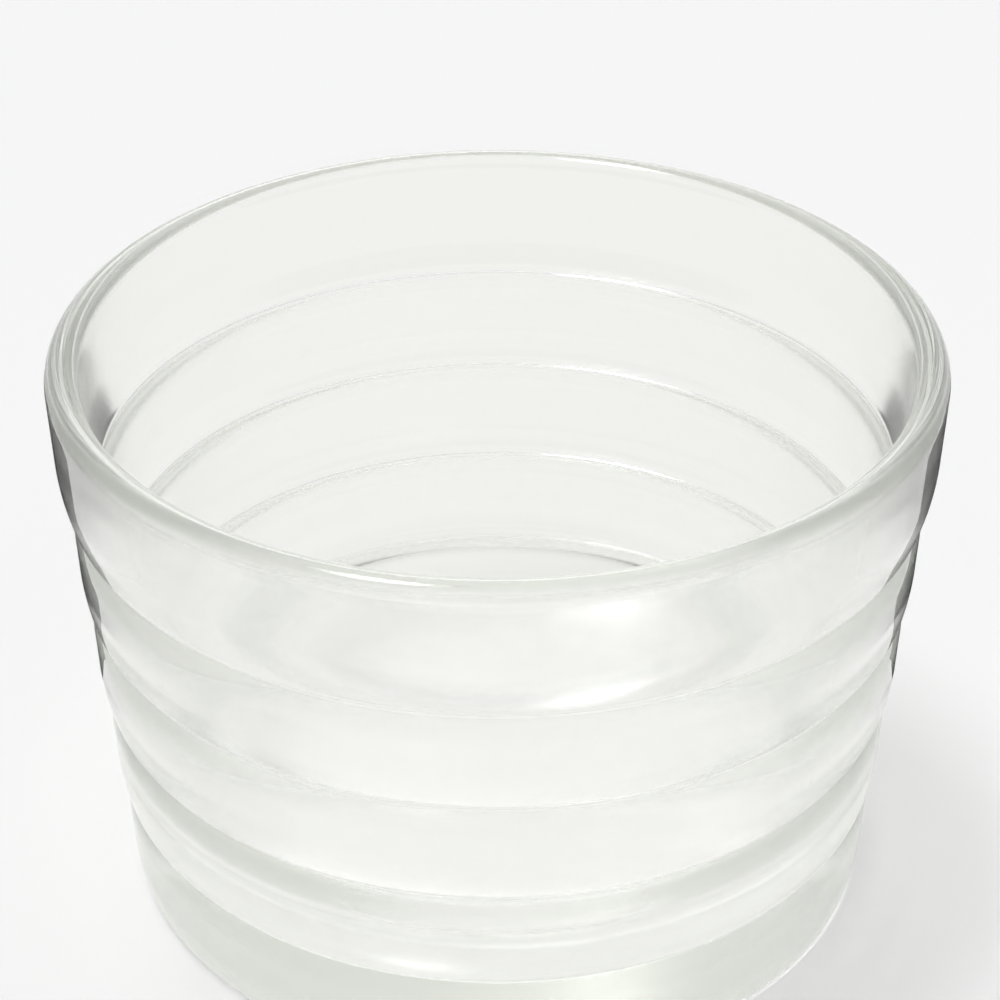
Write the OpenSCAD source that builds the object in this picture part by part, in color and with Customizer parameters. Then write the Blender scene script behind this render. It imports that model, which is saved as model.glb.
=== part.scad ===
// Chai glass: one piece of clear pressed glass, round and slightly tapered.
// A tall band under the lip and four lower rings step inwards on the way down.
// Each ring rolls under at its foot, and the next one starts with a round shoulder in a
// narrow groove.
// The inside is smooth, with a thick floor and a shallow hollow underneath.
// Origin: centre of the circle that the glass stands on. +Z is up.

/* [Overall] */
// Outside diameter at the rim
rim_d = 82; // [76:0.5:88]
// Height from the table to the top of the lip
glass_h = 55.5; // [53:0.5:62]
// Lean of every ring's wall from upright, in degrees
draft = 2.4; // [1:0.1:3.5]

/* [Lip and wall] */
// Thickness of the lip, which is rounded right over
lip_t = 3; // [2.2:0.1:4]
// Thickness of the wall at the foot of the inside, where it is thickest
low_wall_t = 3.8; // [3:0.1:5]
// Height of the inside floor above the table
floor_t = 5.5; // [4:0.1:9]
// Radius of the corner between the inside wall and the floor
floor_corner_r = 14; // [8:0.5:18]

/* [Rings] */
// Number of rings below the band under the lip
ring_count = 4; // [2:1:4]
// Height of one ring
ring_h = 10.5; // [9:0.1:11]
// How far the first ring stands in from the band above it
first_step = 0.85; // [0.5:0.05:1.1]
// How far each further ring stands in from the one above it
ring_step = 0.5; // [0.35:0.05:0.8]
// Radius of the arc by which each ring rolls under
curl_r = 17; // [10:0.5:18]
// Change of direction where a ring starts to roll under, in degrees
curl_turn = 1; // [0.5:0.1:2]
// Height of the round shoulder that each ring starts with
shoulder_h = 2; // [1:0.1:3]
// Radius of that shoulder
shoulder_r = 8; // [4:0.5:12]

/* [Foot] */
// Radius of the edge that the glass stands on
foot_edge_r = 1.2; // [0.6:0.1:2]
// Diameter of the hollow under the glass, at the table
hollow_d = 58; // [46:1:62]
// Depth of that hollow
hollow_h = 0.5; // [0.3:0.1:1.6]
// Width of the slope at the edge of that hollow
hollow_slope = 7; // [2:0.5:9]

/* [Hidden] */
$fn = 240;
rim_r = rim_d / 2;
lip_r = lip_t / 2;
lip_z = glass_h - lip_r;
inner_top_r = rim_r - lip_t;
// Angle at which the round foot edge meets the table
foot_turn = 20;
// How far a cutting shape runs past what it cuts
overrun = 1;

// Height of the bottom of ring k, where ring 0 is the band under the lip
function low_z(k) = (ring_count - k) * ring_h;

// How much ring k stands in from the band under the lip
function step_in(k) = k == 0 ? 0 : first_step + (k - 1) * ring_step;

// Outside radius of ring k's drafted wall at height z
function wall_r(k, z) = rim_r - step_in(k) - (lip_z - z) * tan(draft);

// Centre of an arc of radius r that starts at point p, on a wall leaning by lean
// degrees, and runs down and inwards
function arc_centre(p, r, lean) = [p.x - r * cos(lean), p.y + r * sin(lean)];

// Height above its bottom at which ring k starts to roll under, so that its arc comes in
// to the next ring's wall just there: the positive root of a h^2 + b h + c = 0
function curl_h(k) =
    let (
        lean = draft + curl_turn,
        step = step_in(k + 1) - step_in(k),
        a = 1 + pow(tan(draft), 2),
        b = 2 * (curl_r * sin(lean) - (curl_r * cos(lean) - step) * tan(draft)),
        c = step * step - 2 * curl_r * step * cos(lean)
    )
    (-b + sqrt(b * b - 4 * a * c)) / (2 * a);

// Where ring k starts to roll under, and the centre of its arc
function curl_start(k) = [wall_r(k, low_z(k) + curl_h(k)), low_z(k) + curl_h(k)];
function curl_centre(k) = arc_centre(curl_start(k), curl_r, draft + curl_turn);

// Where the wall of ring k takes over from its shoulder, and the centre of that shoulder
function shoulder_end(k) = [wall_r(k, low_z(k - 1) - shoulder_h), low_z(k - 1) - shoulder_h];
function shoulder_centre(k) = arc_centre(shoulder_end(k), shoulder_r, draft - curl_turn);

// What lies outside an arc, between the heights low and high
module outside_arc(centre, r, low, high) {
    difference() {
        translate([centre.x, low]) square([r + overrun, high - low]);
        translate(centre) circle(r = r);
    }
}

// How far the circle of an arc of radius r runs outside the wall past the point where it
// meets it. A cut starts there, so that it leaves no sliver
function past_wall(r) = r * sin(curl_turn);

// Solid outline of ring k, from the axis out to its wall
module ring_outline(k) {
    low = low_z(k);
    top = k == 0 ? lip_z : low_z(k - 1);
    difference() {
        polygon([[0, low], [wall_r(k, low), low], [wall_r(k, top), top], [0, top]]);
        outside_arc(curl_centre(k), curl_r, low, curl_start(k).y + past_wall(curl_r));
        if (k > 0) {
            from = shoulder_end(k).y - past_wall(shoulder_r);
            outside_arc(shoulder_centre(k), shoulder_r, from, top + overrun);
        }
    }
}

// What rounds off the edge that the glass stands on: an arc that leaves the lowest ring's
// arc smoothly and meets the table at the angle foot_turn
module foot_edge() {
    centre = curl_centre(ring_count);
    lean = asin((centre.y - foot_edge_r * cos(foot_turn)) / (curl_r - foot_edge_r));
    p = centre + curl_r * [cos(lean), -sin(lean)];
    edge_centre = arc_centre(p, foot_edge_r, lean + curl_turn);
    outside_arc(edge_centre, foot_edge_r, -overrun, p.y + past_wall(foot_edge_r));
}

// Outline of the space that holds the chai: a leaning wall, a round corner and the floor
module inside_outline() {
    floor_r = wall_r(ring_count, floor_t) - low_wall_t;
    lean = atan((inner_top_r - floor_r) / (lip_z - floor_t));
    centre = [
        floor_r - floor_corner_r * (1 - sin(lean)) / cos(lean),
        floor_t + floor_corner_r
    ];
    on_wall = centre + floor_corner_r * [cos(lean), -sin(lean)];
    polygon([
        [0, floor_t], [centre.x, floor_t], centre, on_wall,
        [inner_top_r, lip_z], [inner_top_r, lip_z + overrun], [0, lip_z + overrun]
    ]);
    translate(centre) circle(r = floor_corner_r);
}

// Outline of the shallow hollow that leaves a ring to stand on
module hollow_outline() {
    r = hollow_d / 2;
    polygon([
        [0, -overrun], [r, -overrun], [r, 0],
        [r - hollow_slope, hollow_h], [0, hollow_h]
    ]);
}

// Round top of the lip
module lip_outline() {
    translate([rim_r - lip_r, lip_z]) intersection() {
        circle(r = lip_r);
        translate([-lip_r, 0]) square([lip_t, lip_r]);
    }
}

// The whole glass, turned about its axis
module tumbler() {
    color([0.86, 0.90, 0.87, 0.45])
        rotate_extrude() {
            difference() {
                for (k = [0 : ring_count]) ring_outline(k);
                foot_edge();
                inside_outline();
                hollow_outline();
            }
            lip_outline();
        }
}

tumbler();
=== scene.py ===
# %% [markdown]
# # A pressed chai glass
# The object is one piece of clear pressed glass: a tall band under a round lip, and four
# lower rings, each of which rolls under and meets the next one in a crisp groove. Nothing
# moves and nothing is glued on, so the lesson is about two things: turning one outline
# into a clean solid of revolution, and making clear glass look like glass.
#
# The CAD model comes first. It fixes the size and the place of everything that follows.

# %% Load the CAD frame
from math import asin, atan2, cos, hypot, pi, radians, sin, sqrt, tan

import bmesh
import bpy
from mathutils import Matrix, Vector


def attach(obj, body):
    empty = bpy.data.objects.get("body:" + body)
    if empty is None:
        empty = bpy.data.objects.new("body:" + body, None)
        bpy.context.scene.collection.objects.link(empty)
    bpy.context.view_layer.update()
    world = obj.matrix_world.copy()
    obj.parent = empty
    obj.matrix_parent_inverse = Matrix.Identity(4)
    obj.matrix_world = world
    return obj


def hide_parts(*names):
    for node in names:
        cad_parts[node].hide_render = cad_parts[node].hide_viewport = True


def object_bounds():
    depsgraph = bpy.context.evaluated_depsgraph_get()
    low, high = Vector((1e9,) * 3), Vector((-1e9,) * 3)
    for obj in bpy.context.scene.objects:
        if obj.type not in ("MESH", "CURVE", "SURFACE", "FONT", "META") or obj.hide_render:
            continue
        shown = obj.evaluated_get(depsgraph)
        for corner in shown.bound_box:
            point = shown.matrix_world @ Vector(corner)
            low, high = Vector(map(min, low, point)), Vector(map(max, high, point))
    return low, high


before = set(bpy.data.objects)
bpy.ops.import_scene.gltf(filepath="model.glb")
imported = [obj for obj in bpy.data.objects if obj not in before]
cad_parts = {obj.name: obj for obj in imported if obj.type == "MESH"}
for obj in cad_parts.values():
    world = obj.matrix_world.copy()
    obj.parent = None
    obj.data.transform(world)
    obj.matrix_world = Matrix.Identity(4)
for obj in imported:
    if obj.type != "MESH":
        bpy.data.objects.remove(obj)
cad_low, cad_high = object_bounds()
MM = 0.001
print("CAD box in mm:", [round(x / MM, 2) for x in (*cad_low, *cad_high)])

# %% [markdown]
# ## Picture settings
# The Standard view transform shows a colour about as it is written. A pale, nearly clear
# object needs that: a film-like transform would turn the white ground grey.
#
# Light crosses this glass many times before it finds its way out. A ray that is cut off
# early ends in a black patch, so the numbers of bounces are raised well above the usual.

# %% Set how colours are shown
scene = bpy.context.scene
scene.view_settings.view_transform = "Standard"
scene.cycles.max_bounces = 40
scene.cycles.transmission_bounces = 40
scene.cycles.glossy_bounces = 12
scene.cycles.diffuse_bounces = 8
scene.cycles.blur_glossy = 0
print("view transform:", scene.view_settings.view_transform)
print("bounces through glass:", scene.cycles.transmission_bounces)

# %% [markdown]
# ## Camera
# The photographer stood close and looked down over the lip, so the mouth shows as a wide
# oval and the foot runs out of the picture. A long lens at this distance keeps the walls
# nearly upright. The place and the tilt were worked out from the ovals of the lip and the
# grooves, whose real diameters the CAD model gives.

# %% Make the camera
camera_place = Vector((0.23, -220.8, 178.15)) * MM
camera_pitch = 32.40
camera_lens = 99.8
camera_data = bpy.data.cameras.new("camera")
camera_data.lens = camera_lens
camera_data.sensor_width = 36
camera_data.clip_start, camera_data.clip_end = 10 * MM, 20
camera = bpy.data.objects.new("camera", camera_data)
camera.location = camera_place
camera.rotation_euler = (radians(90 - camera_pitch), 0, 0)
scene.collection.objects.link(camera)
scene.camera = camera
print("camera at", [round(x / MM, 1) for x in camera.location], "mm")

# %% [markdown]
# ## Sizes of the glass
# These are the sizes of the CAD model, in metres, so that the shaped glass lies exactly on
# it. A ring's wall leans a little, as every pressed wall does: the plunger and the mould
# have to come off again. Only the shoulder of a ring is taller here than in the CAD model,
# by a millimetre, because the grooves have to catch the light.

# %% Sizes
glass_h = cad_high.z
rim_r = cad_high.x
draft = radians(2.4)
lip_t = 3 * MM
low_wall_t = 3.8 * MM
floor_t = 5.5 * MM
floor_corner_r = 14 * MM
ring_count = 4
ring_h = 10.5 * MM
first_step = 0.85 * MM
ring_step = 0.5 * MM
curl_r = 17 * MM
curl_turn = radians(1)
shoulder_h = 3 * MM
shoulder_r = 8 * MM
foot_edge_r = 1.2 * MM
foot_turn = radians(20)
hollow_r = 29 * MM
hollow_h = 0.5 * MM
hollow_slope = 7 * MM

lip_r = lip_t / 2
lip_z = glass_h - lip_r
print("rim", round(2 * rim_r / MM, 2), "mm, height", round(glass_h / MM, 2), "mm")

# %% [markdown]
# ## A pen for the outline
# A solid of revolution needs half of its cut-through outline. It could be typed as a long
# list of points, but then nobody can see where an arc begins. Here the outline is drawn
# as with a pen instead. A straight stroke extrudes the last point, and a round stroke
# spins it about the arc's centre. Both are the operators that the editor has as well.

# %% Pen strokes
outline = bmesh.new()


def line_to(pen, r, z, strokes=1):
    """Draws a straight stroke from pen to radius r and height z, in equal short strokes."""
    step = (Vector((r, 0, z)) - pen.co) / strokes
    for _ in range(strokes):
        pen = bmesh.ops.extrude_vert_indiv(outline, verts=[pen])["verts"][0]
        bmesh.ops.translate(outline, verts=[pen], vec=step)
    return pen


def arc_about(pen, r, z, turn, strokes):
    """Draws a round stroke about the centre (r, z). A positive turn runs clockwise."""
    drawn = bmesh.ops.spin(
        outline, geom=[pen], cent=(r, 0, z), axis=(0, 1, 0), angle=turn, steps=strokes
    )
    return next(v for v in drawn["geom_last"] if isinstance(v, bmesh.types.BMVert))


# %% [markdown]
# ## The inside
# The plunger leaves a plain inside: a flat floor, a round corner and a wall that opens
# slightly towards the lip. The wall is thickest at the foot, where the glass has to be
# heavy, and the corner is round because molten glass does not fill a sharp one.


# %% Draw the floor, the corner and the inside wall
def low_z(k):
    """Height of the bottom of ring k, where ring 0 is the band under the lip."""
    return (ring_count - k) * ring_h


def step_in(k):
    """How far ring k stands in from the band under the lip."""
    return 0 if k == 0 else first_step + (k - 1) * ring_step


def wall_r(k, z):
    """Radius of ring k's leaning wall at height z."""
    return rim_r - step_in(k) - (lip_z - z) * tan(draft)


inner_top_r = rim_r - lip_t
floor_r = wall_r(ring_count, floor_t) - low_wall_t
lean = atan2(inner_top_r - floor_r, lip_z - floor_t)
corner = (floor_r - floor_corner_r * (1 - sin(lean)) / cos(lean), floor_t + floor_corner_r)

pen = outline.verts.new((0, 0, floor_t))
pen = line_to(pen, corner[0], floor_t, 12)
pen = arc_about(pen, *corner, lean - pi / 2, 16)
pen = line_to(pen, inner_top_r, lip_z, 30)
print("inside floor, radius:", round(floor_r / MM, 2), "mm; wall lean", round(lean, 4))

# %% [markdown]
# ## The lip and the rings
# The lip is rounded right over, as a flame leaves it. Below it, each ring is a straight
# stroke down and then a slow arc that starts to roll under. Its height is worked out from
# its radius and from how far the next ring stands in, as in the CAD model.
#
# What one sees of a ring from afar is the line at its foot. A plain corner would give a
# thin scratch. On the real glass the line is soft and double, bright and dark, because the
# ring turns under in a small round edge, and the next one starts with a round shoulder.
# Both are arcs that bend the light much harder than the wall, so both are drawn here. The
# small edge is fine work that the CAD model leaves out.


# %% Draw the lip, the band and the rings
def curl_h(k):
    """Height above its bottom at which ring k starts to roll under."""
    start_lean = draft + curl_turn
    step = step_in(k + 1) - step_in(k)
    a = 1 + tan(draft) ** 2
    b = 2 * (curl_r * sin(start_lean) - (curl_r * cos(start_lean) - step) * tan(draft))
    c = step**2 - 2 * curl_r * step * cos(start_lean)
    return (-b + sqrt(b * b - 4 * a * c)) / (2 * a)


def curl(k):
    """Start of ring k's arc, and the arc's centre, each as (radius, height)."""
    z = low_z(k) + curl_h(k)
    start = (wall_r(k, z), z)
    start_lean = draft + curl_turn
    return start, (start[0] - curl_r * cos(start_lean), z + curl_r * sin(start_lean))


edge_r = 1.5 * MM
edge_end = radians(60)
grooves = []
pen = arc_about(pen, rim_r - lip_r, lip_z, pi, 28)
for k in range(ring_count):
    start, centre = curl(k)
    pen = line_to(pen, *start, 8)
    drop = centre[1] - low_z(k) - edge_r * sin(edge_end)
    edge_start = asin(drop / (curl_r - edge_r))
    pen = arc_about(pen, *centre, edge_start - draft - curl_turn, 10)
    centre = (pen.co.x - edge_r * cos(edge_start), pen.co.z + edge_r * sin(edge_start))
    pen = arc_about(pen, *centre, edge_end - edge_start, 8)
    low = low_z(k) - shoulder_h
    end_lean = draft - curl_turn
    centre = (
        wall_r(k + 1, low) - shoulder_r * cos(end_lean),
        low + shoulder_r * sin(end_lean),
    )
    rise = asin((low_z(k) - centre[1]) / shoulder_r)
    pen = line_to(pen, centre[0] + shoulder_r * cos(rise), low_z(k))
    grooves.append(pen)
    pen = arc_about(pen, *centre, rise + end_lean, 8)
print("grooves at radius", [round(v.co.x / MM, 2) for v in grooves], "mm")

# %% [markdown]
# ## The foot
# The lowest ring rolls under as well, into a small round edge. Underneath, a shallow
# hollow leaves only a ring of glass to stand on, so the glass does not rock.

# %% Draw the foot and the hollow
start, centre = curl(ring_count)
foot_lean = asin((centre[1] - foot_edge_r * cos(foot_turn)) / (curl_r - foot_edge_r))
pen = line_to(pen, *start, 10)
pen = arc_about(pen, *centre, foot_lean - draft - curl_turn, 10)
foot_centre = (
    pen.co.x - foot_edge_r * cos(foot_lean + curl_turn),
    pen.co.z + foot_edge_r * sin(foot_lean + curl_turn),
)
pen = arc_about(
    pen, *foot_centre, asin(foot_centre[1] / foot_edge_r) - foot_lean - curl_turn, 12
)
foot_r = pen.co.x
pen = line_to(pen, hollow_r, 0, 6)
pen = line_to(pen, hollow_r - hollow_slope, hollow_h, 4)
pen = line_to(pen, 0, hollow_h, 12)
print("foot radius:", round(foot_r / MM, 2), "mm at height", round(pen.co.z / MM, 3))

# %% [markdown]
# ## Soften the grooves
# No mould has a perfectly sharp corner, and a smooth-shaded sharp corner looks dirty in
# glass. A small vertex bevel on the flat outline rounds the bottom of each groove before
# it is turned. On the outline it takes four points. On the finished solid it would mean
# picking four loops of hundreds of edges.

# %% Round the groove corners
groove_round = 0.35 * MM
bmesh.ops.bevel(
    outline, geom=grooves, offset=groove_round, segments=4, profile=0.5,
    affect="VERTICES", material=-1,
)
print("outline strokes:", len(outline.edges))

# %% [markdown]
# ## Turn the outline
# One full spin about the upright axis makes the glass. The two points on the axis are
# turned into hundreds of copies of themselves, so doubles are merged, and then the faces
# are made to point outwards, because a spin can leave a shape inside out.

# %% Spin the glass
turns = 300
bmesh.ops.spin(
    outline, geom=outline.verts[:] + outline.edges[:], cent=(0, 0, 0),
    axis=(0, 0, 1), angle=2 * pi, steps=turns, use_merge=True,
)
bmesh.ops.remove_doubles(outline, verts=outline.verts, dist=0.001 * MM)
bmesh.ops.recalc_face_normals(outline, faces=outline.faces)
for face in outline.faces:
    face.smooth = True
glass_mesh = bpy.data.meshes.new("glass")
volume = outline.calc_volume(signed=True)
open_edges = [e for e in outline.edges if not e.is_manifold]
outline.to_mesh(glass_mesh)
outline.free()
glass = bpy.data.objects.new("glass_body", glass_mesh)
scene.collection.objects.link(glass)
print("volume", round(volume * 1e9), "mm3, open edges", len(open_edges))
print("triangles", sum(len(p.vertices) - 2 for p in glass_mesh.polygons))

# %% [markdown]
# ## Mark the inside
# A pressed glass has two skins. The outside is polished by a flame, and the inside keeps
# the slightly dull touch of the plunger, which blurs what one sees through it. Two
# materials would show a hard seam at the lip. A number on every point, 1 inside and 0
# outside, fades from one skin to the other by itself, and the shader can read it.

# %% Mark the points of the inside
near = 0.01 * MM
skin = glass_mesh.attributes.new("inside", "FLOAT", "POINT")
for v in glass_mesh.vertices:
    inner_r = inner_top_r - (lip_z - v.co.z) * tan(lean)
    if v.co.z > floor_t - near and hypot(v.co.x, v.co.y) < inner_r + near:
        skin.data[v.index].value = 1
print("points:", len(skin.data), "of them inside:", sum(d.value > 0 for d in skin.data))

# %% [markdown]
# ## Clear glass
# Cheap pressed glass is soda-lime glass with a trace of iron, which shows as a faint
# green where one looks through much of it, such as along the lip. A tinted surface would
# colour thin and thick places alike. A volume that absorbs light colours each ray by the
# way it has gone inside, and the thick foot comes out deeper by itself.
#
# The refraction index of this kind of glass is about 1.52. The roughness comes from the
# marked points: nearly none outside, and more inside.

# %% Glass material
rough_outside, rough_inside = 0.03, 0.2
glass_look = bpy.data.materials.new("clear_pressed_glass")
glass_look.use_nodes = True
nodes, links = glass_look.node_tree.nodes, glass_look.node_tree.links
shader = nodes["Principled BSDF"]
shader.inputs["Base Color"].default_value = (1, 1, 1, 1)
shader.inputs["IOR"].default_value = 1.52
shader.inputs["Transmission Weight"].default_value = 1.0
tint = nodes.new("ShaderNodeVolumeAbsorption")
tint.inputs["Color"].default_value = (0.74, 0.79, 0.66, 1)
tint.inputs["Density"].default_value = 7.5
mark = nodes.new("ShaderNodeAttribute")
mark.attribute_name = "inside"
rough = nodes.new("ShaderNodeMapRange")
rough.inputs["To Min"].default_value = rough_outside
rough.inputs["To Max"].default_value = rough_inside
links.new(mark.outputs["Fac"], rough.inputs["Value"])
links.new(rough.outputs["Result"], shader.inputs["Roughness"])
links.new(tint.outputs["Volume"], nodes["Material Output"].inputs["Volume"])
glass_mesh.materials.append(glass_look)
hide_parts("tumbler")
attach(glass, "root")
print("refraction index:", round(shader.inputs["IOR"].default_value, 2))
print("roughness outside and inside:", rough_outside, rough_inside)

# %% [markdown]
# ## White paper
# The glass stands on a sheet of white paper that runs far back, so that the picture has
# no edge behind it. The sheet lies a hair below the foot. Two faces at the same height
# would flicker, because the ray cannot tell which one it meets first.
#
# Under the glass the paper should be nearly as white as around it, because light comes in
# from every side, many times over. A renderer that follows a few rays loses much of it,
# and the foot turns grey. So the paper seen through the glass glows a little. The Light
# Path node picks out just those rays, and the shadow on the paper stays as it is.

# %% Lay the paper
paper_half = 3
below_foot = 0.03 * MM
glow_share = 0.75
paper_mesh = bpy.data.meshes.new("paper")
sheet = bmesh.new()
bmesh.ops.create_grid(sheet, x_segments=1, y_segments=1, size=paper_half)
sheet.to_mesh(paper_mesh)
sheet.free()
paper = bpy.data.objects.new("paper", paper_mesh)
paper.location.z = -below_foot
scene.collection.objects.link(paper)
paper_look = bpy.data.materials.new("white_paper")
paper_look.use_nodes = True
nodes, links = paper_look.node_tree.nodes, paper_look.node_tree.links
matt = nodes["Principled BSDF"]
matt.inputs["Base Color"].default_value = (0.92, 0.92, 0.92, 1)
matt.inputs["Roughness"].default_value = 1
matt.inputs["Specular IOR Level"].default_value = 0
glow = nodes.new("ShaderNodeEmission")
glow.inputs["Color"].default_value = (0.88, 0.88, 0.85, 1)
rays = nodes.new("ShaderNodeLightPath")
share = nodes.new("ShaderNodeMath")
share.operation = "MULTIPLY"
share.inputs[1].default_value = glow_share
links.new(rays.outputs["Is Transmission Ray"], share.inputs[0])
mix = nodes.new("ShaderNodeMixShader")
links.new(share.outputs[0], mix.inputs[0])
links.new(matt.outputs[0], mix.inputs[1])
links.new(glow.outputs[0], mix.inputs[2])
links.new(mix.outputs[0], nodes["Material Output"].inputs["Surface"])
paper_mesh.materials.append(paper_look)
print("paper side:", round(paper.dimensions.x, 2), "m")
print("paper height:", round(paper.location.z / MM, 3), "mm")

# %% [markdown]
# ## Black cards
# Clear glass on white would fade into the paper. Photographers stand a narrow black card
# just behind each side of it. The thick edges of the wall throw the view outwards by up
# to 30 degrees, so they show the cards, and the outline turns dark.
#
# The camera and the paper take no notice of these cards: they are seen only in the glass.
# From another side a card could show through the middle of the glass as well, as a black
# patch. The way in there leads through four surfaces, and at the edge it is only two. The
# Light Path node counts them, and lets the card vanish after the second.

# %% Black for the cards
surfaces_at_edge = 2
black = bpy.data.materials.new("black_card")
black.use_nodes = True
nodes, links = black.node_tree.nodes, black.node_tree.links
cardboard = nodes["Principled BSDF"]
cardboard.inputs["Base Color"].default_value = (0.012, 0.012, 0.014, 1)
cardboard.inputs["Roughness"].default_value = 1
cardboard.inputs["Specular IOR Level"].default_value = 0
rays = nodes.new("ShaderNodeLightPath")
beyond_edge = nodes.new("ShaderNodeMath")
beyond_edge.operation = "GREATER_THAN"
beyond_edge.inputs[1].default_value = surfaces_at_edge + 0.5
links.new(rays.outputs["Transmission Depth"], beyond_edge.inputs[0])
nothing = nodes.new("ShaderNodeBsdfTransparent")
mix = nodes.new("ShaderNodeMixShader")
links.new(beyond_edge.outputs[0], mix.inputs[0])
links.new(cardboard.outputs[0], mix.inputs[1])
links.new(nothing.outputs[0], mix.inputs[2])
links.new(mix.outputs[0], nodes["Material Output"].inputs["Surface"])
print("black:", [round(x, 3) for x in cardboard.inputs["Base Color"].default_value[:3]])

# %% [markdown]
# ## Stand the cards
# A card is a single face: two points, the edge between them, and that edge raised once. It
# needs no thickness, because nothing sees its rim. It faces the camera, so from the left
# or the right one looks along it and hardly sees it at all.

# %% Stand a black card on each side
card_near, card_far = 45 * MM, 67 * MM
card_behind = 22 * MM
card_h = 40 * MM
for name, side in (("left", -1), ("right", 1)):
    card = bmesh.new()
    low = [card.verts.new((side * x, card_behind, 0)) for x in (card_near, card_far)]
    raised = bmesh.ops.extrude_edge_only(card, edges=[card.edges.new(low)])["geom"]
    raised = [g for g in raised if isinstance(g, bmesh.types.BMVert)]
    bmesh.ops.translate(card, verts=raised, vec=(0, 0, card_h))
    card_mesh = bpy.data.meshes.new("card_" + name)
    card.to_mesh(card_mesh)
    card.free()
    card_mesh.materials.append(black)
    card = bpy.data.objects.new("card_" + name, card_mesh)
    card.visible_camera = card.visible_diffuse = card.visible_shadow = False
    scene.collection.objects.link(card)
    print(card.name, [round(x / MM) for x in card.dimensions], "mm")

# %% [markdown]
# ## Studio light
# Clear glass has hardly any colour of its own. What one sees in it is the studio, bent
# and mirrored, so the light is most of the finish. Lamps could do it, but light that
# reaches the paper through glass is found only by chance then, and leaves noise. So the
# studio is painted on the sky instead, as soft panels in an evenly lit tent. Each has an
# azimuth and an elevation. Azimuth 0 is behind the glass as the camera sees it, and 90 is
# on its right.
#
# The panel nearly overhead throws the soft shadow to the right, close to the foot. The
# panel behind shines through the walls. The room in front is dim, and it is what the
# rolled edges of the rings mirror, so it draws their dark lines. However bright the
# panels are, the light that reaches the paper is worked out and scaled to 1, so white
# paper stays white.

# %% Soft panels of the studio
tent = 0.95
studio_panels = {
    # name: azimuth, elevation, half width, half height, softness, brightness
    "back box": (-6, 26, 8, 8, 5, 3),
    "top box": (-75, 76, 40, 6, 6, 12),
    "front room": (180, 0, 70, 36, 16, 0.2),
}


def soft_step(distance, half, softness):
    """1 well inside a panel's edge, 0 well outside it, and smooth between."""
    t = min(1, max(0, (half + softness / 2 - distance) / softness))
    return t * t * (3 - 2 * t)


def studio_at(azimuth, elevation):
    """Brightness of the studio in one direction, both in degrees."""
    value = tent
    for az, el, half_az, half_el, softness, bright in studio_panels.values():
        turn = abs((azimuth - az + 180) % 360 - 180)
        cover = soft_step(turn, half_az, softness)
        cover *= soft_step(abs(elevation - el), half_el, softness)
        value += (bright - value) * cover
    return value


light_on_paper = 0
for el in range(1, 90, 2):
    for az in range(-180, 180, 3):
        patch = cos(radians(el)) * radians(2) * radians(3)
        light_on_paper += studio_at(az, el) * sin(radians(el)) * patch / pi
exposure = 1 / light_on_paper
print("light on the paper:", round(light_on_paper, 3), "exposure:", round(exposure, 3))

# %% [markdown]
# ## The studio as nodes
# The world shader works out the same two angles for every ray and mixes in one panel
# after another. The camera itself sees plain white behind the paper's far edge. A Light
# Path node picks out its rays, so this changes what it sees of the ground, and no light on
# the glass.

# %% Paint the panels on the sky
world = bpy.data.worlds.new("studio")
world.use_nodes = True
scene.world = world
sky, sky_links = world.node_tree.nodes, world.node_tree.links


def sky_math(operation, a, b=0.0, c=0.0):
    """A Math node on two or three values, which are numbers or sockets."""
    node = sky.new("ShaderNodeMath")
    node.operation = operation
    for socket, value in zip(node.inputs, (a, b, c)):
        if isinstance(value, (int, float)):
            socket.default_value = value
        else:
            sky_links.new(value, socket)
    return node.outputs[0]


def sky_edge(distance, half, softness):
    """The node that soft_step() stands for, with angles in radians."""
    node = sky.new("ShaderNodeMapRange")
    node.interpolation_type = "SMOOTHSTEP"
    sky_links.new(distance, node.inputs["Value"])
    node.inputs["From Min"].default_value = radians(half - softness / 2)
    node.inputs["From Max"].default_value = radians(half + softness / 2)
    node.inputs["To Min"].default_value = 1
    node.inputs["To Max"].default_value = 0
    return node.outputs[0]


place = sky.new("ShaderNodeTexCoord")
axes = sky.new("ShaderNodeSeparateXYZ")
sky_links.new(place.outputs["Generated"], axes.inputs[0])
azimuth = sky_math("ARCTAN2", axes.outputs["X"], axes.outputs["Y"])
elevation = sky_math("ARCSINE", axes.outputs["Z"])
bright = tent
for az, el, half_az, half_el, softness, panel_bright in studio_panels.values():
    turn = sky_math("WRAP", sky_math("SUBTRACT", azimuth, radians(az)), pi, -pi)
    side = sky_edge(sky_math("ABSOLUTE", turn), half_az, softness)
    height = sky_math("ABSOLUTE", sky_math("SUBTRACT", elevation, radians(el)))
    cover = sky_math("MULTIPLY", side, sky_edge(height, half_el, softness))
    step = sky_math("SUBTRACT", panel_bright, bright)
    bright = sky_math("MULTIPLY_ADD", cover, step, bright)

paper_white = 0.922
rays = sky.new("ShaderNodeLightPath")
seen = sky.new("ShaderNodeMix")
sky_links.new(rays.outputs["Is Camera Ray"], seen.inputs["Factor"])
sky_links.new(sky_math("MULTIPLY", bright, exposure), seen.inputs["A"])
seen.inputs["B"].default_value = paper_white
sky_links.new(seen.outputs["Result"], sky["Background"].inputs["Strength"])
sky["Background"].inputs["Color"].default_value = (1, 1, 1, 1)
print("sky nodes:", len(sky))
